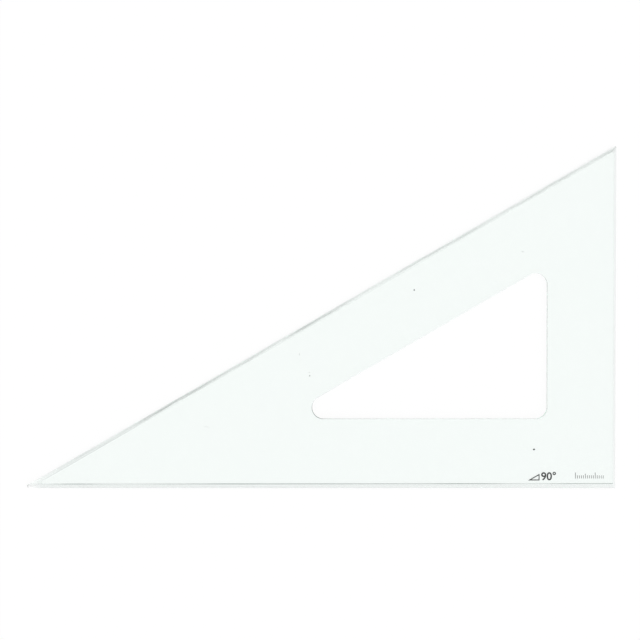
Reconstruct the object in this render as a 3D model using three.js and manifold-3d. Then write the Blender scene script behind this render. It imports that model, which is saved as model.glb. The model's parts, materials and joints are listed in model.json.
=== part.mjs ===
// A 30-60-90 drafting triangle, milled from one sheet of clear acrylic and lying face up.
// Millimetres, +Z up. The long leg faces -Y and the short leg +X, so the right angle is at +X -Y, and the
// hypotenuse faces -X +Y. The origin is the middle of the outline's bounding box, on the underside.
import * as THREE from "three";
import { mergeVertices, toCreasedNormals } from "three/addons/utils/BufferGeometryUtils.js";
import Module from "manifold-3d";

// Outline of the sheet
const longLegLength = 300; // from the sharp tip to the right angle, before the points are blunted
const tipDegrees = 30;
const pointRadius = 0.9; // the 30 and 60 degree points are blunted so that they neither prick nor chip
const rightAngleRadius = 0.3; // left nearly sharp, so that lines can be ruled right into the corner
const cornerSteps = 8;

// Section of the sheet
const sheetThickness = 2.5;
const rulingEdgeHeight = 1.1; // top of the upright edge that the pencil runs along
const arris = 0.2; // small 45 degree chamfer that takes the sharpness off a sawn edge

// How far each bevel slopes in from its ruling edge
const longLegBevel = 2.3;
const hypotenuseBevel = 1.9;
const shortLegBevel = 1.4;

// Window in the middle, given by the band of sheet that is left between it and each ruling edge
const longLegBand = 35.2;
const hypotenuseBand = 35.1;
const shortLegBand = 34.7;
const windowCornerRadius = 5.7;
const windowCornerSteps = 20;
const cutterOverrun = 1; // how far the window's cutter stands out of each face

// Edges where the surface turns by more than this are shaded crisp
const creaseDegrees = 20;

const quarterTurn = Math.PI / 2;
const tipAngle = THREE.MathUtils.degToRad(tipDegrees);
const hypotenuseFacing = quarterTurn + tipAngle;
const hypotenuseDistance = longLegLength * Math.sin(tipAngle);

// The three sides, anticlockwise: the direction that each faces, and its distance from the right angle.
const sides = [
  { facing: -quarterTurn, distance: 0, bevel: longLegBevel, band: longLegBand },
  { facing: 0, distance: 0, bevel: shortLegBevel, band: shortLegBand },
  { facing: hypotenuseFacing, distance: hypotenuseDistance, bevel: hypotenuseBevel, band: hypotenuseBand },
];
const bevels = sides.map((side) => side.bevel);
const alike = (size) => sides.map(() => size);

// The radius at the end of each side: at the right angle, the 60 degree point and the 30 degree point.
const cornerRadii = [rightAngleRadius, pointRadius, pointRadius];

// Where two sides cross once each has moved in by its own inset.
function crossing(first, second, firstInset, secondInset) {
  const firstDistance = first.distance - firstInset;
  const secondDistance = second.distance - secondInset;
  const turn = Math.sin(second.facing - first.facing);
  return new THREE.Vector2(
    (firstDistance * Math.sin(second.facing) - secondDistance * Math.sin(first.facing)) / turn,
    (secondDistance * Math.cos(first.facing) - firstDistance * Math.cos(second.facing)) / turn,
  );
}

// The triangle with each side moved in by its inset and each corner an arc, anticlockwise.
function roundedTriangle(insets, radii, steps) {
  return sides.flatMap((side, i) => {
    const after = (i + 1) % sides.length;
    const next = sides[after];
    const radius = radii[i];
    const centre = crossing(side, next, insets[i] + radius, insets[after] + radius);
    const sweep = THREE.MathUtils.euclideanModulo(next.facing - side.facing, 2 * Math.PI);
    return Array.from({ length: steps + 1 }, (_, step) => {
      const direction = side.facing + (sweep * step) / steps;
      return new THREE.Vector2(Math.cos(direction), Math.sin(direction)).multiplyScalar(radius).add(centre);
    });
  });
}

// A closed solid through rings of as many points each, from the lowest ring to the highest.
function loft(rings) {
  const count = rings[0].points.length;
  const positions = rings.flatMap(({ points, z }) => points.flatMap((point) => [point.x, point.y, z]));
  const cap = THREE.ShapeUtils.triangulateShape(rings[0].points, []);
  const topStart = (rings.length - 1) * count;
  const corners = [
    ...cap.flatMap(([a, b, c]) => [c, b, a]),
    ...cap.flatMap(([a, b, c]) => [topStart + a, topStart + b, topStart + c]),
  ];
  for (let low = 0; low < topStart; low += count) {
    for (let i = 0; i < count; i++) {
      const here = low + i;
      const beside = low + ((i + 1) % count);
      corners.push(here, beside, beside + count, here, beside + count, here + count);
    }
  }
  const geometry = new THREE.BufferGeometry();
  geometry.setAttribute("position", new THREE.Float32BufferAttribute(positions, 3));
  geometry.setIndex(corners);
  return geometry;
}

const wasm = await Module();
wasm.setup();

function toSolid(geometry) {
  const merged = mergeVertices(geometry);
  return new wasm.Manifold(
    new wasm.Mesh({
      numProp: 3,
      vertProperties: merged.attributes.position.array,
      triVerts: new Uint32Array(merged.index.array),
    }),
  );
}

function toGeometry(solid) {
  const { vertProperties, triVerts } = solid.getMesh();
  const geometry = new THREE.BufferGeometry();
  geometry.setAttribute("position", new THREE.BufferAttribute(vertProperties, 3));
  geometry.setIndex(new THREE.BufferAttribute(triVerts, 1));
  return toCreasedNormals(geometry, THREE.MathUtils.degToRad(creaseDegrees));
}

// The sheet in section, from below: an arris, the upright ruling edges, then the bevels up to the top face.
function bevelledSheet() {
  const ring = (insets, z) => ({ points: roundedTriangle(insets, cornerRadii, cornerSteps), z });
  return loft([
    ring(alike(arris), 0),
    ring(alike(0), arris),
    ring(alike(0), rulingEdgeHeight),
    ring(bevels, sheetThickness),
  ]);
}

// What is cut out of the sheet: upright walls that flare by an arris at each face.
function windowCutter() {
  const ring = (growth, z) => ({
    points: roundedTriangle(
      sides.map((side) => side.band - growth),
      alike(windowCornerRadius + growth),
      windowCornerSteps,
    ),
    z,
  });
  const flare = arris + cutterOverrun;
  return loft([
    ring(flare, -cutterOverrun),
    ring(0, arris),
    ring(0, sheetThickness - arris),
    ring(flare, sheetThickness + cutterOverrun),
  ]);
}

// Clear cast acrylic with a faint green cast, as polished as it left the mould.
const clearAcrylic = new THREE.MeshStandardMaterial({
  color: 0xe9f5ef,
  roughness: 0.06,
  metalness: 0,
  transparent: true,
  opacity: 0.35,
});

const windowedSheet = toSolid(bevelledSheet()).subtract(toSolid(windowCutter()));
const body = new THREE.Mesh(toGeometry(windowedSheet), clearAcrylic);
body.name = "triangle_body";
const middle = new THREE.Box3().setFromObject(body).getCenter(new THREE.Vector3());
body.position.set(-middle.x, -middle.y, 0);

const draftingTriangle = new THREE.Group();
draftingTriangle.add(body);

export default draftingTriangle;
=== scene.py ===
"""A clear acrylic drafting triangle lying on a white table, finished around its construction."""

import json
import math
import random

import bmesh
import bpy
from mathutils import Matrix, Vector


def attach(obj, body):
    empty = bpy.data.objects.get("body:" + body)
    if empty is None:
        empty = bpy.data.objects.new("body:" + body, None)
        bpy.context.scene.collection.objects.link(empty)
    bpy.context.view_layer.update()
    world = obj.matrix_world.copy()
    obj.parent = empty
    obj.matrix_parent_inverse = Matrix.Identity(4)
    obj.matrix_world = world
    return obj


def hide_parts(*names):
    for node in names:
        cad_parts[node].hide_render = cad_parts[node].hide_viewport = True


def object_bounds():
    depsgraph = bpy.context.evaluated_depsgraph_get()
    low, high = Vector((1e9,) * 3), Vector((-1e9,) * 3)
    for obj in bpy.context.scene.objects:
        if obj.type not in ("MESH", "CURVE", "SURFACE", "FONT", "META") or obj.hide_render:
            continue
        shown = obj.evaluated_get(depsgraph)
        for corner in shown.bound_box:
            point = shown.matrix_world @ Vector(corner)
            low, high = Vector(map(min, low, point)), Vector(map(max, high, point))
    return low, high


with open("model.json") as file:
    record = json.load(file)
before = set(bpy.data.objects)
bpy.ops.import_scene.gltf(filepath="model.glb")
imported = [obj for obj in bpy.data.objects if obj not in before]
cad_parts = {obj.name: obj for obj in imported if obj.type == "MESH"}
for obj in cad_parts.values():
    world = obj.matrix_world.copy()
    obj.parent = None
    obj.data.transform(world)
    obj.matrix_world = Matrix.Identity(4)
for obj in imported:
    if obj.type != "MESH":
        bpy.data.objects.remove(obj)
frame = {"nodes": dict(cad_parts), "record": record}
cad_low, cad_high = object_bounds()

MM = 0.001

# The sheet, as the construction gives it
BODY = frame["nodes"]["triangle_body"]
MOUNTS = {mount["name"]: mount for mount in frame["record"]["mounts"]}
TOP = cad_high.z

# The cutter was set a little unevenly, so each end of the ridge lies off along an edge. The long leg's
# bevel widens from the 30 degree point to the right angle, and the hypotenuse's towards the 60 degree point.
SHARP_END_DOWN_HYPOTENUSE = 0.25 * MM
RIGHT_END_UP_SHORT_LEG = 0.1 * MM
UPPER_END_UP_SHORT_LEG = -0.25 * MM

# Wear and deburring
RIDGE_REACH = 0.15 * MM  # how far onto the top face the ridge of a bevel is rubbed down by hands and pencils
RIDGE_DROP = 0.09 * MM  # how far below the top face the rubbing ends on the bevel
EDGE_BREAK = 0.04 * MM  # how far back every other crisp edge is broken
EDGE_BREAK_STEPS = 2
NEAR_EDGE = 4.0 * MM  # anything closer to a ruling edge than this belongs to it, and not to the window
WELD = 0.002 * MM
FLAT_TURN = math.radians(0.5)  # faces that turn by less than this are one flat face
CRISP_TURN = math.radians(25)  # edges that turn by more than this are broken
LEVEL = 0.999  # upward share of a normal from which a face counts as level
FLAT_FACES_FIRST = 100  # at this weight the large flat faces alone set the shading where they end

# Print on the top face, its places measured from the right angle's corner
INK_THICKNESS = 0.02 * MM
BOLDNESS = 0.02  # of the letter height that the strokes are thickened by on each side
ANGLE_PLACE = (-37.6 * MM, 4.0 * MM)
ANGLE_HEIGHT = 4.4 * MM
SIGN_PLACE = (-44.3 * MM, 4.0 * MM)
SIGN_ANGLE = math.radians(30)
SIGN_LENGTH = 5.9  # the sign and the scale are drawn in millimetres
SIGN_STROKE = 0.5
SCALE_PLACE = (-20.4 * MM, 5.0 * MM)
SCALE_LENGTH = 14  # ticks stand a millimetre apart
TICK_WIDTH = 0.25
TICK_HEIGHTS = {10: 3.0, 5: 2.4, 1: 1.6}  # of every tenth, every fifth and every other tick

# Specks that stick to the top face, in millimetres: place from the middle of the part, length and width,
# and turn in degrees
SPECK_POINTS = 9
SPECK_RAGGEDNESS = 0.3  # the share of the way to the middle that a point may lie in from a smooth outline
SPECK_SEED = 7
SPECKS = [
    ((46.95, 13.9), 0.8, 0.8, 0),
    ((107.55, -66.55), 1.25, 0.95, 30),
    ((-5.7, -29.4), 0.66, 0.56, 0),
    ((-6.0, -27.7), 0.36, 0.3, 0),
    ((101.5, 33.2), 2.4, 0.11, -12),
    ((-10.95, -18.6), 1.5, 0.14, 80),
    ((-57.6, -55.1), 3.6, 0.06, -8),
]

# Clear acrylic all through
ACRYLIC_IOR = 1.49
INSIDE_COLOUR = "#E2F8EF"
INSIDE_DENSITY = 100.0  # per metre: the thin sheet is hardly green from above, and its edges are deep green
LIGHT_TURNS = 32  # light that runs along inside the sheet turns at its faces this often before it gets out

# Every pattern's size is in millimetres along X, Y and Z. Nearly all values of a noise lie within its
# middle, and a change from one value to another is eased at both ends.
NOISE_MIDDLE = {"From Min": 0.3, "From Max": 0.7}
EASED = {"interpolation_type": "SMOOTHSTEP"}

# A Mix node's colour sockets share their names, so they go by number.
SHARE, FIRST_COLOUR, SECOND_COLOUR = 0, 6, 7

# Cast faces
RIPPLE = (40.0, 40.0, 40.0)
RIPPLE_HEIGHT = 0.01 * MM
HAIRLINE = (25.0, 0.4, 1.0)  # a real one is about 0.02 mm wide, too fine to show, so it is drawn this coarse
HAIRLINE_STARTS = 0.5  # noise from which a hairline shows
HAIRLINE_FULL = 0.8
POLISHED_ROUGHNESS = 0.01
HAIRLINE_ROUGHNESS = 0.08

# Milled bevels. The real cutter's lines lie about 0.05 mm apart, too fine to show, so they are drawn this
# coarse.
CUTTER_LINE = 0.3
CUTTER_LINE_HEIGHT = 0.03 * MM
CUTTER_LINE_STRENGTH = 0.3
SMOOTHEST_MILLED = 0.12  # roughness on and beside a line, and what a fully satin finish adds to each
ROUGHEST_MILLED = 0.2
SATIN_ADDS_LEAST = 0.3
SATIN_ADDS_MOST = 0.4
# near the 30 degree point the bevels are an opaque matt white
MATT_WHITE_NEAR_POINT = "#FAFAFA"
# Each bevel's colour and film are set side by side as painted shade for how the light falls on it: the
# hypotenuse's, which faces away from the light, takes a deep film of painted shade, and the legs' greys
# differ a little.
MILLED = {
    "long_leg": {
        "colour": "#E7E9E9", "satin": 0.3, "film": 0.05, "streak": 60.0, "matt_tip": 8.0, "climb": 0.0,
    },
    "short_leg": {
        "colour": "#EAEBEB", "satin": 0.5, "film": 0.03, "streak": 60.0, "matt_tip": 8.0, "climb": 0.0,
    },
    "hypotenuse": {
        "colour": "#FAFAFA", "satin": 0.03, "film": 0.55, "streak": 12.0, "matt_tip": 2.5, "climb": 0.12,
    },
}

# Dust of the drawing in the milled lines, and painted shade: on the hypotenuse's bevel it is mostly painted
# shade, the dark band that the light gives there. Its foot and head are shares of the way up the bevel.
# grey-green of the dust, and of the painted shade on the bevels and round the window's narrow end
DUST_AND_SHADE_COLOUR = "#4E6A60"
DUST_AND_SHADE_LETS_THROUGH = 0.2  # share of the light
DUST_AND_SHADE_FOOT = {"From Min": -0.08, "From Max": 0.36}
DUST_AND_SHADE_HEAD = {"From Min": 0.56, "From Max": 1.12}
DUST_AND_SHADE_PATCH = (60.0, 100.0, 100.0)
DUST_AND_SHADE_PATCH_START = 15.8
DUST_AND_SHADE_PATCH_SPREAD = {"From Min": 0.35, "From Max": 0.65}
DUST_AND_SHADE_BETWEEN_PATCHES = 0.42
DUST_AND_SHADE_BETWEEN_LINES = 0.6
DUST_AND_SHADE_WANDER = (20.0, 100.0, 100.0)
DUST_AND_SHADE_WANDERS = {"To Min": -0.16, "To Max": 0.04}
DUST_AND_SHADE_CLIMBS = {"From Min": -55.0, "From Max": 40.0}  # millimetres along the edge from its mount
DUST_AND_SHADE_THIN_OUT = 35.0  # millimetres from the 30 degree point

# Routed wall of the window. The real chatter is about 0.2 mm apart, and is drawn this coarse to show.
CHATTER = (0.5, 0.5, 6.0)
CHATTER_HEIGHT = 0.02 * MM
CHATTER_STRENGTH = 0.3
CHATTER_ROUGHNESS = {"To Min": 0.05, "To Max": 0.12}
MISTED_COLOUR = "#F4F5F5"
MIST_LETS_THROUGH = 0.55
INTO_WINDOW = Vector((1, 0.5, 0))  # the way from its narrow end to its middle
# painted shade round the window's narrow end, thinning and ending this far from it
NARROW_END_SHADE_THINS = {"From Min": 3.0, "From Max": 8.0}  # millimetres from the narrow end
NARROW_END_SHADE_ENDS = {"From Min": 8.0, "From Max": 24.0}
NARROW_END_SHADE_THINNED = 0.25

# Graphite in the rubbed ridge
RUBBED_COLOUR = "#F6F8F7"
GRAPHITE_COLOUR = "#385249"
RUBBED_LETS_THROUGH = 0.95
GRAPHITE_LETS_THROUGH = 0.3
RUBBED_ROUGHNESS = 0.2
GRAPHITE_ROUGHNESS = 0.5
GRAPHITE_PATCH = (60.0, 60.0, 60.0)
GRAPHITE_PATCH_START = 12.6
GRAPHITE_BETWEEN_PATCHES = 0.5
LONG_LEG_HOLDS_TO = 0.2  # millimetres in from the long leg's ridge
LONG_LEG_ENDS_AT = 0.7
GRAPHITE_THINS = {"From Min": 60.0, "From Max": 90.0}  # on the other ridges, from the 30 degree point
GRAPHITE_THINNING = {"To Min": 0.35, "To Max": 0.1}
GRAPHITE_WIPED = 25.0

# Ink. A printing screen's mesh is about 0.1 mm, and its grain is drawn a little coarser to show.
INK_GRAIN = (0.15, 0.15, 0.15)
INK_GRAIN_HEIGHT = 0.01 * MM
INK_GRAIN_STRENGTH = 0.5
INK_DARK = "#0C0E0D"
INK_LIGHT = "#2C302E"
INK_ROUGHNESS = {"To Min": 0.4, "To Max": 0.6}

# Table, light and camera
TABLE_GAP = 0.1 * MM
TABLE_RADIUS = 9.0
TABLE_SEGMENTS = 64
TABLE_COLOUR = "#F0F0F0"  # in the light that it sends back to the triangle
TABLE_GLOW = 0.953  # what the eye sees of it is nearly all even white
SHADOW_SHARE = 0.05  # and the rest follows the light that falls on it, and so keeps the shadow
WORLD_LEVEL = 0.55  # of the even light that falls on everything
WORLD_SEEN = 0.9  # of the surroundings that show in the acrylic
KEY_STRENGTH = 2.2
KEY_ANGLE = math.radians(70)
KEY_FROM = (0.542, -0.542, 0.643)  # the way to the key
CAMERA_PLACE = (-0.5 * MM, 21.3 * MM, 898.0 * MM)
CAMERA_TILT = math.radians(-1.44)
CAMERA_LENS = 100
SENSOR_WIDTH = 36


def edge(mount_name):
    """A ruling edge: a point on it, the way it faces, and how far in from it its bevel's ridge lies."""
    anchor = Vector(MOUNTS[mount_name]["pos_m"])
    outward = Vector(MOUNTS[mount_name]["axis"])
    on_top = [vertex.co for vertex in BODY.data.vertices if vertex.co.z > TOP - WELD]
    return {"anchor": anchor, "outward": outward, "ridge": min((anchor - co).dot(outward) for co in on_top)}


EDGES = {name: edge(name + "_edge") for name in ("long_leg", "short_leg", "hypotenuse")}
SHARP_POINT = min((vertex.co for vertex in BODY.data.vertices), key=lambda co: co.x)


def inset(name, point):
    """How far in from a ruling edge a point lies."""
    return (EDGES[name]["anchor"] - point).dot(EDGES[name]["outward"])


def along(name):
    """The way that a ruling edge runs, anticlockwise round the sheet."""
    outward = EDGES[name]["outward"]
    return Vector((-outward.y, outward.x, 0))


def nearest_edge(point):
    """The ruling edge that a point lies by, or None for one further in."""
    name = min(EDGES, key=lambda candidate: inset(candidate, point))
    return name if inset(name, point) < NEAR_EDGE else None


def linear(hex_colour):
    """An sRGB hex colour as the linear RGBA that the shaders work in."""
    channels = [int(hex_colour[i : i + 2], 16) / 255 for i in (1, 3, 5)]
    return [c / 12.92 if c <= 0.04045 else ((c + 0.055) / 1.055) ** 2.4 for c in channels] + [1.0]


def add(tree, kind, inputs=None, **settings):
    """Adds a node. settings are its own properties, and inputs gives a socket its value, or the node or the
    socket that feeds it. A node feeds it with the first result that it has in use."""
    made = tree.nodes.new(kind)
    for name, value in settings.items():
        setattr(made, name, value)
    for socket, value in (inputs or {}).items():
        if isinstance(value, bpy.types.Node):
            value = next(result for result in value.outputs if result.enabled)
        if isinstance(value, bpy.types.NodeSocket):
            tree.links.new(value, made.inputs[socket])
        else:
            made.inputs[socket].default_value = value
    return made


def material(name):
    """An empty node material and its tree."""
    made = bpy.data.materials.new(name)
    made.use_nodes = True
    made.node_tree.nodes.clear()
    return made, made.node_tree


def clear_within(tree, surface):
    """Puts a surface round clear acrylic's faint green, which only gathers where one looks through a long
    way of it."""
    inside = add(tree, "ShaderNodeVolumeAbsorption", {
        "Color": linear(INSIDE_COLOUR), "Density": INSIDE_DENSITY,
    })
    add(tree, "ShaderNodeOutputMaterial", {"Surface": surface, "Volume": inside})


def face_place(tree):
    """Object coordinates in millimetres."""
    place = add(tree, "ShaderNodeTexCoord").outputs["Object"]
    return add(tree, "ShaderNodeMapping", {"Vector": place, "Scale": [1 / MM] * 3})


def edge_place(tree, name):
    """Millimetres along a ruling edge in X, and in from it in Y."""
    outward = EDGES[name]["outward"]
    turn = Matrix.Rotation(-math.pi / 2 - math.atan2(outward.y, outward.x), 3, "Z")
    return add(tree, "ShaderNodeMapping", {
        "Vector": add(tree, "ShaderNodeTexCoord").outputs["Object"],
        "Scale": [1 / MM] * 3,
        "Rotation": turn.to_euler(),
        "Location": -(turn @ EDGES[name]["anchor"]) / MM,
    })


def grains(tree, place, size, start=0.0):
    """A cloudy pattern with grains of that size, slid along X by start of them."""
    sized = add(tree, "ShaderNodeMapping", {
        "Vector": place, "Scale": [1 / length for length in size], "Location": (start, 0.0, 0.0),
    })
    return add(tree, "ShaderNodeTexNoise", {"Vector": sized, "Scale": 1.0})


def away_from(tree, point):
    """Millimetres from a point of the sheet."""
    return add(tree, "ShaderNodeVectorMath", {0: face_place(tree), 1: point / MM}, operation="DISTANCE")


def thinning_near_point(tree, reach):
    """From 0 at the 30 degree point, where sleeves and hands wipe dust and graphite away and the painted
    shade thins out, to 1 at reach millimetres away.
    """
    return add(tree, "ShaderNodeMapRange", {
        "Value": away_from(tree, SHARP_POINT), "From Max": reach,
    }, **EASED)


def settled(tree, share, *others):
    """What dust or graphite is left where several patterns each let a share of it stay."""
    for other in others:
        share = add(tree, "ShaderNodeMath", {0: share, 1: other}, operation="MULTIPLY")
    return share


def cast_acrylic():
    """Cast acrylic sheet with its polished faces as cast: clear as glass, with the finest of hairlines from
    being slid over paper and a slow ripple that bends what it mirrors."""
    made, tree = material("cast_acrylic")
    place = face_place(tree)
    ripple = add(tree, "ShaderNodeBump", {
        "Height": grains(tree, place, RIPPLE), "Distance": RIPPLE_HEIGHT, "Strength": 1.0,
    })
    hairlines = add(tree, "ShaderNodeMapRange", {
        "Value": grains(tree, place, HAIRLINE),
        "From Min": HAIRLINE_STARTS,
        "From Max": HAIRLINE_FULL,
        "To Min": POLISHED_ROUGHNESS,
        "To Max": HAIRLINE_ROUGHNESS,
    }, **EASED)
    surface = add(tree, "ShaderNodeBsdfPrincipled", {
        "Base Color": linear("#FFFFFF"),
        "Transmission Weight": 1.0,
        "IOR": ACRYLIC_IOR,
        "Roughness": hairlines,
        "Normal": ripple,
    })
    clear_within(tree, surface)
    return made


def dust_and_shade_up_the_bevel(tree, place, lines, name, film, climb):
    """The dust and painted shade on a bevel: thickest halfway up, in patches and in the cutter's lines, and
    thinning out near the 30 degree point."""
    parts = add(tree, "ShaderNodeSeparateXYZ", {"Vector": place}).outputs
    wander = add(tree, "ShaderNodeMapRange", {
        "Value": grains(tree, place, DUST_AND_SHADE_WANDER), **NOISE_MIDDLE, **DUST_AND_SHADE_WANDERS,
    }, **EASED)
    climbed = add(tree, "ShaderNodeMapRange", {
        "Value": parts["X"], **DUST_AND_SHADE_CLIMBS, "To Min": -climb, "To Max": 0.0,
    }, **EASED)
    drift = add(tree, "ShaderNodeMath", {0: climbed, 1: wander})
    height = add(tree, "ShaderNodeMath", {
        0: parts["Y"], 1: MM / EDGES[name]["ridge"], 2: drift,
    }, operation="MULTIPLY_ADD")
    patches = grains(tree, place, DUST_AND_SHADE_PATCH, DUST_AND_SHADE_PATCH_START)
    return settled(
        tree,
        add(tree, "ShaderNodeMapRange", {"Value": height, **DUST_AND_SHADE_FOOT}, **EASED),
        add(tree, "ShaderNodeMapRange", {
            "Value": height, **DUST_AND_SHADE_HEAD, "To Min": 1.0, "To Max": 0.0,
        }, **EASED),
        add(tree, "ShaderNodeMapRange", {
            "Value": patches, **DUST_AND_SHADE_PATCH_SPREAD, "To Min": DUST_AND_SHADE_BETWEEN_PATCHES,
        }, **EASED),
        add(tree, "ShaderNodeMapRange", {
            "Value": lines, **NOISE_MIDDLE, "To Min": DUST_AND_SHADE_BETWEEN_LINES,
        }, **EASED),
        thinning_near_point(tree, DUST_AND_SHADE_THIN_OUT),
        film,
    )


def milled_acrylic(name, colour, satin, film, streak, matt_tip, climb):
    """Acrylic as a cutter run along the edge leaves it, with fine lines lengthwise that scatter the light.
    satin is the share that they scatter instead of passing it, film how much of the drawing's dust and of
    painted shade lies in them, streak the length in millimetres of what shows of one of them, matt_tip how
    far from the 30 degree point it is an opaque matt white, and climb the share of the bevel that the dust
    and painted shade lie higher at the hypotenuse's upper end."""
    made, tree = material("milled_" + name)
    place = edge_place(tree, name)
    lines = grains(tree, place, (streak, CUTTER_LINE, CUTTER_LINE))
    # dust, and on the hypotenuse's bevel mostly painted shade
    dust_and_shade = dust_and_shade_up_the_bevel(tree, place, lines, name, film, climb)
    kept_clear = thinning_near_point(tree, matt_tip)
    # the bevel's colour turns grey-green where dust and painted shade lie
    dusty_and_shaded_colour = add(tree, "ShaderNodeMix", {
        SHARE: dust_and_shade, FIRST_COLOUR: linear(colour), SECOND_COLOUR: linear(DUST_AND_SHADE_COLOUR),
    }, data_type="RGBA")
    # near the 30 degree point the bevel is an opaque matt white
    base_colour = add(tree, "ShaderNodeMix", {
        SHARE: kept_clear, FIRST_COLOUR: linear(MATT_WHITE_NEAR_POINT), SECOND_COLOUR: dusty_and_shaded_colour,
    }, data_type="RGBA")
    let_through = add(tree, "ShaderNodeMapRange", {
        "Value": dust_and_shade, "To Min": 1.0 - satin, "To Max": DUST_AND_SHADE_LETS_THROUGH,
    }, **EASED)
    roughness = add(tree, "ShaderNodeMapRange", {
        "Value": lines,
        **NOISE_MIDDLE,
        "To Min": SMOOTHEST_MILLED + SATIN_ADDS_LEAST * satin,
        "To Max": ROUGHEST_MILLED + SATIN_ADDS_MOST * satin,
    }, **EASED)
    surface = add(tree, "ShaderNodeBsdfPrincipled", {
        "Base Color": base_colour,
        "Transmission Weight": add(tree, "ShaderNodeMath", {
            0: let_through, 1: kept_clear,
        }, operation="MULTIPLY"),
        "IOR": ACRYLIC_IOR,
        "Roughness": roughness,
        "Normal": add(tree, "ShaderNodeBump", {
            "Height": lines, "Distance": CUTTER_LINE_HEIGHT, "Strength": CUTTER_LINE_STRENGTH,
        }),
    })
    clear_within(tree, surface)
    return made


def routed_acrylic():
    """Acrylic as the fine cutter that made the window leaves it: misted, with the cutter's upright chatter,
    and with painted shade in the dust's grey-green round the narrow end."""
    made, tree = material("routed_window_wall")
    chatter = grains(tree, face_place(tree), CHATTER)
    window = [vertex.co for vertex in BODY.data.vertices if not nearest_edge(vertex.co)]
    narrow_end = min(window, key=INTO_WINDOW.dot)
    away = away_from(tree, narrow_end)
    # painted shade round the narrow end
    dust_and_shade = settled(
        tree,
        add(tree, "ShaderNodeMapRange", {
            "Value": away, **NARROW_END_SHADE_THINS, "To Min": 1.0, "To Max": NARROW_END_SHADE_THINNED,
        }, **EASED),
        add(tree, "ShaderNodeMapRange", {
            "Value": away, **NARROW_END_SHADE_ENDS, "To Min": 1.0, "To Max": 0.0,
        }, **EASED),
    )
    surface = add(tree, "ShaderNodeBsdfPrincipled", {
        "Base Color": add(tree, "ShaderNodeMix", {
            SHARE: dust_and_shade, FIRST_COLOUR: linear(MISTED_COLOUR), SECOND_COLOUR: linear(DUST_AND_SHADE_COLOUR),
        }, data_type="RGBA"),
        "Transmission Weight": add(tree, "ShaderNodeMapRange", {
            "Value": dust_and_shade, "To Min": MIST_LETS_THROUGH, "To Max": DUST_AND_SHADE_LETS_THROUGH,
        }, **EASED),
        "IOR": ACRYLIC_IOR,
        "Roughness": add(tree, "ShaderNodeMapRange", {
            "Value": chatter, **NOISE_MIDDLE, **CHATTER_ROUGHNESS,
        }, **EASED),
        "Normal": add(tree, "ShaderNodeBump", {
            "Height": chatter, "Distance": CHATTER_HEIGHT, "Strength": CHATTER_STRENGTH,
        }),
    })
    clear_within(tree, surface)
    return made


def rubbed_ridge():
    """The ridge of a bevel, rubbed matt and filled with pencil graphite: a thin dark line that fades here
    and there, and is faint on all but the long leg."""
    made, tree = material("graphite_in_rubbed_ridge")
    patches = add(tree, "ShaderNodeMapRange", {
        "Value": grains(tree, face_place(tree), GRAPHITE_PATCH, GRAPHITE_PATCH_START),
        **NOISE_MIDDLE,
        "To Min": GRAPHITE_BETWEEN_PATCHES,
    }, **EASED)
    ridge = EDGES["long_leg"]["ridge"] / MM
    on_long_leg = add(tree, "ShaderNodeMapRange", {
        "Value": add(tree, "ShaderNodeSeparateXYZ", {"Vector": edge_place(tree, "long_leg")}).outputs["Y"],
        "From Min": ridge + LONG_LEG_HOLDS_TO,
        "From Max": ridge + LONG_LEG_ENDS_AT,
        "To Min": 1.0,
        "To Max": 0.0,
    }, **EASED)
    elsewhere = add(tree, "ShaderNodeMapRange", {
        "Value": away_from(tree, SHARP_POINT), **GRAPHITE_THINS, **GRAPHITE_THINNING,
    }, **EASED)
    most = add(tree, "ShaderNodeMath", {0: on_long_leg, 1: elsewhere}, operation="MAXIMUM")
    graphite = settled(tree, patches, most, thinning_near_point(tree, GRAPHITE_WIPED))
    surface = add(tree, "ShaderNodeBsdfPrincipled", {
        "Base Color": add(tree, "ShaderNodeMix", {
            SHARE: graphite, FIRST_COLOUR: linear(RUBBED_COLOUR), SECOND_COLOUR: linear(GRAPHITE_COLOUR),
        }, data_type="RGBA"),
        "Transmission Weight": add(tree, "ShaderNodeMapRange", {
            "Value": graphite, "To Min": RUBBED_LETS_THROUGH, "To Max": GRAPHITE_LETS_THROUGH,
        }, **EASED),
        "IOR": ACRYLIC_IOR,
        "Roughness": add(tree, "ShaderNodeMapRange", {
            "Value": graphite, "To Min": RUBBED_ROUGHNESS, "To Max": GRAPHITE_ROUGHNESS,
        }, **EASED),
    })
    clear_within(tree, surface)
    return made


def screen_ink():
    """Screen-printing ink: a dense black film with a little sheen, slightly uneven from its screen."""
    made, tree = material("screen_printed_ink")
    grain = grains(tree, face_place(tree), INK_GRAIN)
    surface = add(tree, "ShaderNodeBsdfPrincipled", {
        "Base Color": add(tree, "ShaderNodeMix", {
            SHARE: grain, FIRST_COLOUR: linear(INK_DARK), SECOND_COLOUR: linear(INK_LIGHT),
        }, data_type="RGBA"),
        "Roughness": add(tree, "ShaderNodeMapRange", {
            "Value": grain, **NOISE_MIDDLE, **INK_ROUGHNESS,
        }, **EASED),
        "Normal": add(tree, "ShaderNodeBump", {
            "Height": grain, "Distance": INK_GRAIN_HEIGHT, "Strength": INK_GRAIN_STRENGTH,
        }),
    })
    add(tree, "ShaderNodeOutputMaterial", {"Surface": surface})
    return made


def object_of(mesh_data, name):
    """An object that shows a mesh, in the scene."""
    made = bpy.data.objects.new(name, mesh_data)
    bpy.context.scene.collection.objects.link(made)
    return made


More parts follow.
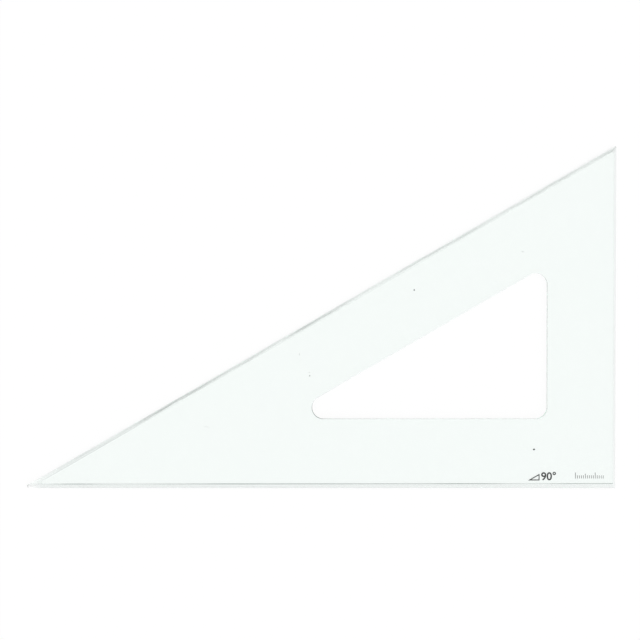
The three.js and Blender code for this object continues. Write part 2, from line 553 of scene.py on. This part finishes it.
def slide_ridge_ends(sheet):
    """Slides each end of the ridge along the edge whose bevel keeps its width."""
    ridge = [vertex.co for vertex in sheet.verts if vertex.co.z > TOP - WELD and nearest_edge(vertex.co)]
    slides = (
        (min(ridge, key=lambda co: co.x), SHARP_END_DOWN_HYPOTENUSE * along("hypotenuse")),
        (max(ridge, key=lambda co: co.x - co.y), RIGHT_END_UP_SHORT_LEG * along("short_leg")),
        (max(ridge, key=lambda co: co.y), UPPER_END_UP_SHORT_LEG * along("short_leg")),
    )
    for end, slide in [(end.copy(), slide) for end, slide in slides]:
        for co in ridge:
            if (co - end).length < NEAR_EDGE:
                co += slide
    sheet.normal_update()


def rub_ridges(sheet):
    """Turns the ridge round the top face into a narrow slope, and gives back that slope's faces."""
    top = [face for face in sheet.faces if face.normal.z > LEVEL]
    made = bmesh.ops.inset_region(
        sheet, faces=top, thickness=RIDGE_REACH, use_boundary=True, use_even_offset=True,
    )
    rims = [face for face in made["faces"] if nearest_edge(face.calc_center_median())]
    down = {}
    for vertex in {vertex for face in rims for vertex in face.verts}:
        lowest = min((line.other_vert(vertex).co for line in vertex.link_edges), key=lambda co: co.z)
        if lowest.z < TOP - WELD:
            down[vertex] = vertex.co.lerp(lowest, RIDGE_DROP / (TOP - lowest.z))
    for vertex, place in down.items():
        vertex.co = place
    sheet.normal_update()
    return rims


def finished_body():
    """The machined sheet: the construction's own surface, welded, with its ridges rubbed down and every
    other crisp edge slightly broken."""
    finishes = {
        "faces": cast_acrylic(),
        **{name: milled_acrylic(name, **finish) for name, finish in MILLED.items()},
        "window": routed_acrylic(),
        "ridge": rubbed_ridge(),
    }
    slots = list(finishes)
    sheet = bmesh.new()
    sheet.from_mesh(BODY.data)
    bmesh.ops.remove_doubles(sheet, verts=sheet.verts, dist=WELD)
    bmesh.ops.dissolve_limit(sheet, angle_limit=FLAT_TURN, verts=sheet.verts, edges=sheet.edges)
    slide_ridge_ends(sheet)
    rubbed = rub_ridges(sheet)
    for face in sheet.faces:
        face.smooth = True
        level = abs(face.normal.z) > LEVEL
        name = "faces" if level else nearest_edge(face.calc_center_median()) or "window"
        face.material_index = slots.index(name)
    for face in rubbed:
        face.material_index = slots.index("ridge")
    data = bpy.data.meshes.new("finished_body")
    sheet.to_mesh(data)
    sheet.free()
    for finish in finishes.values():
        data.materials.append(finish)
    piece = object_of(data, "finished_body")
    broken = piece.modifiers.new("edge_break", "BEVEL")
    broken.limit_method = "ANGLE"
    broken.angle_limit = CRISP_TURN
    broken.width = EDGE_BREAK
    broken.segments = EDGE_BREAK_STEPS
    even = piece.modifiers.new("flat_faces_stay_flat", "WEIGHTED_NORMAL")
    even.weight = FLAT_FACES_FIRST
    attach(piece, "root")
    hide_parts("triangle_body")


def print_on_top(curve, name, place, height, ink):
    """Turns a flat curve into a film of ink on the top face, of that height, with its lower left corner at
    place. The curve is raised by any amount first, and then brought to the ink's thickness."""
    curve.extrude = 1.0
    drawn = bpy.data.objects.new(name, curve)
    data = bpy.data.meshes.new_from_object(drawn)
    bpy.data.objects.remove(drawn)
    film = bmesh.new()
    film.from_mesh(data)
    low = Vector([min(vertex.co[axis] for vertex in film.verts) for axis in range(3)])
    high = Vector([max(vertex.co[axis] for vertex in film.verts) for axis in range(3)])
    spread = height / (high.y - low.y)
    corner = Vector((cad_high.x, cad_low.y, TOP)) + Vector((*place, 0))
    bmesh.ops.translate(film, verts=film.verts, vec=-low)
    bmesh.ops.scale(film, verts=film.verts, vec=(spread, spread, INK_THICKNESS / (high.z - low.z)))
    bmesh.ops.translate(film, verts=film.verts, vec=corner)
    bmesh.ops.remove_doubles(film, verts=film.verts, dist=WELD)
    film.to_mesh(data)
    film.free()
    data.materials.clear()
    data.materials.append(ink)
    piece = object_of(data, name)
    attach(piece, "root")


def flat_curve(name, outlines):
    """A filled flat curve with straight sides. An outline within another is a hole in it."""
    curve = bpy.data.curves.new(name, "CURVE")
    curve.dimensions = "2D"
    curve.fill_mode = "BOTH"
    for corners in outlines:
        line = curve.splines.new("POLY")
        line.points.add(len(corners) - 1)
        for point, corner in zip(line.points, corners):
            point.co = (*corner, 0, 1)
        line.use_cyclic_u = True
    return curve


def printed_angle(ink):
    """The angle of the corner it stands by."""
    curve = bpy.data.curves.new("printed_angle", "FONT")
    curve.body = "90°"
    curve.offset = BOLDNESS
    print_on_top(curve, "printed_angle", ANGLE_PLACE, ANGLE_HEIGHT, ink)


def printed_sign(ink):
    """The triangle's own outline as a small sign."""
    slope = math.tan(SIGN_ANGLE)
    across = SIGN_STROKE / math.cos(SIGN_ANGLE)  # the slanted stroke, measured upright
    height = SIGN_LENGTH * slope
    inner_left = (SIGN_STROKE + across) / slope
    inner_right = SIGN_LENGTH - SIGN_STROKE
    outline = [(0, 0), (SIGN_LENGTH, 0), (SIGN_LENGTH, height)]
    inner_height = inner_right * slope - across
    hole = [(inner_left, SIGN_STROKE), (inner_right, SIGN_STROKE), (inner_right, inner_height)]
    print_on_top(flat_curve("printed_sign", [outline, hole]), "printed_sign", SIGN_PLACE, height * MM, ink)


def printed_scale(ink):
    """A short scale of millimetre ticks."""
    ticks = []
    for at in range(SCALE_LENGTH + 1):
        height = next(height for step, height in TICK_HEIGHTS.items() if at % step == 0)
        ticks.append([(at, 0), (at + TICK_WIDTH, 0), (at + TICK_WIDTH, height), (at, height)])
    height = max(TICK_HEIGHTS.values()) * MM
    print_on_top(flat_curve("printed_scale", ticks), "printed_scale", SCALE_PLACE, height, ink)


def specks(ink):
    """Crumbs of dried ink, and the finest of hairs, stuck to the top face."""
    crumbs = bmesh.new()
    chance = random.Random(SPECK_SEED)
    for (x, y), length, width, turn in SPECKS:
        place = Matrix.Translation((x * MM, y * MM, TOP)) @ Matrix.Rotation(math.radians(turn), 4, "Z")
        shape = place @ Matrix.Diagonal((length * MM, width * MM, 1, 1))
        made = bmesh.ops.create_circle(
            crumbs, cap_ends=True, radius=0.5, segments=SPECK_POINTS, matrix=shape,
        )
        for vertex in made["verts"]:
            vertex.co = vertex.co.lerp(place.translation, chance.uniform(0.0, SPECK_RAGGEDNESS))
    crumbs.normal_update()
    bmesh.ops.reverse_faces(crumbs, faces=[face for face in crumbs.faces if face.normal.z < 0])
    data = bpy.data.meshes.new("specks")
    crumbs.to_mesh(data)
    crumbs.free()
    data.materials.append(ink)
    piece = object_of(data, "specks")
    raised = piece.modifiers.new("raised", "SOLIDIFY")
    raised.thickness = INK_THICKNESS
    raised.offset = 1.0
    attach(piece, "root")


def looked_at(tree):
    """1 where the eye sees a thing straight, mirrored or through the acrylic, and 0 where the thing only
    sends light."""
    path = add(tree, "ShaderNodeLightPath").outputs
    plain = add(tree, "ShaderNodeMath", {
        0: path["Is Camera Ray"], 1: path["Is Glossy Ray"],
    }, operation="MAXIMUM")
    return add(tree, "ShaderNodeMath", {0: plain, 1: path["Is Transmission Ray"]}, operation="MAXIMUM")


def table_top():
    """A plain white table that keeps the triangle's soft shadow."""
    made, tree = material("white_table")
    dim = add(tree, "ShaderNodeBsdfDiffuse", {"Color": [SHADOW_SHARE] * 3 + [1]})
    glow = add(tree, "ShaderNodeEmission", {"Color": (1, 1, 1, 1), "Strength": TABLE_GLOW})
    shown = add(tree, "ShaderNodeAddShader", {0: dim, 1: glow})
    plain = add(tree, "ShaderNodeBsdfDiffuse", {"Color": linear(TABLE_COLOUR)})
    both = add(tree, "ShaderNodeMixShader", {0: looked_at(tree), 1: plain, 2: shown})
    add(tree, "ShaderNodeOutputMaterial", {"Surface": both})
    data = bpy.data.meshes.new("table")
    top = bmesh.new()
    bmesh.ops.create_circle(
        top, cap_ends=True, radius=TABLE_RADIUS, segments=TABLE_SEGMENTS,
        matrix=Matrix.Translation((0, 0, -TABLE_GAP)),
    )
    top.to_mesh(data)
    top.free()
    data.materials.append(made)
    object_of(data, "table")


def lights():
    """Even light from all round, and one broad soft key from the lower right."""
    world = bpy.data.worlds.new("studio")
    bpy.context.scene.world = world
    world.use_nodes = True
    tree = world.node_tree
    tree.nodes.clear()
    strength = add(tree, "ShaderNodeMapRange", {
        "Value": looked_at(tree), "To Min": WORLD_LEVEL, "To Max": WORLD_SEEN,
    })
    back = add(tree, "ShaderNodeBackground", {"Color": (1, 1, 1, 1), "Strength": strength})
    add(tree, "ShaderNodeOutputWorld", {"Surface": back})
    key = bpy.data.lights.new("key", "SUN")
    key.angle = KEY_ANGLE
    key.energy = KEY_STRENGTH
    object_of(key, "key").rotation_euler = Vector(KEY_FROM).to_track_quat("Z", "Y").to_euler()


def camera():
    """The eye nearly straight above the sheet, far off behind a long lens."""
    data = bpy.data.cameras.new("camera")
    data.lens = CAMERA_LENS
    data.sensor_width = SENSOR_WIDTH
    eye = object_of(data, "camera")
    eye.location = CAMERA_PLACE
    eye.rotation_euler = (CAMERA_TILT, 0, 0)
    bpy.context.scene.camera = eye


bpy.context.scene.view_settings.view_transform = "Standard"
cycles = bpy.context.scene.cycles
cycles.max_bounces = LIGHT_TURNS
cycles.glossy_bounces = LIGHT_TURNS
cycles.transmission_bounces = LIGHT_TURNS

finished_body()
ink = screen_ink()
printed_angle(ink)
printed_sign(ink)
printed_scale(ink)
specks(ink)
table_top()
lights()
camera()
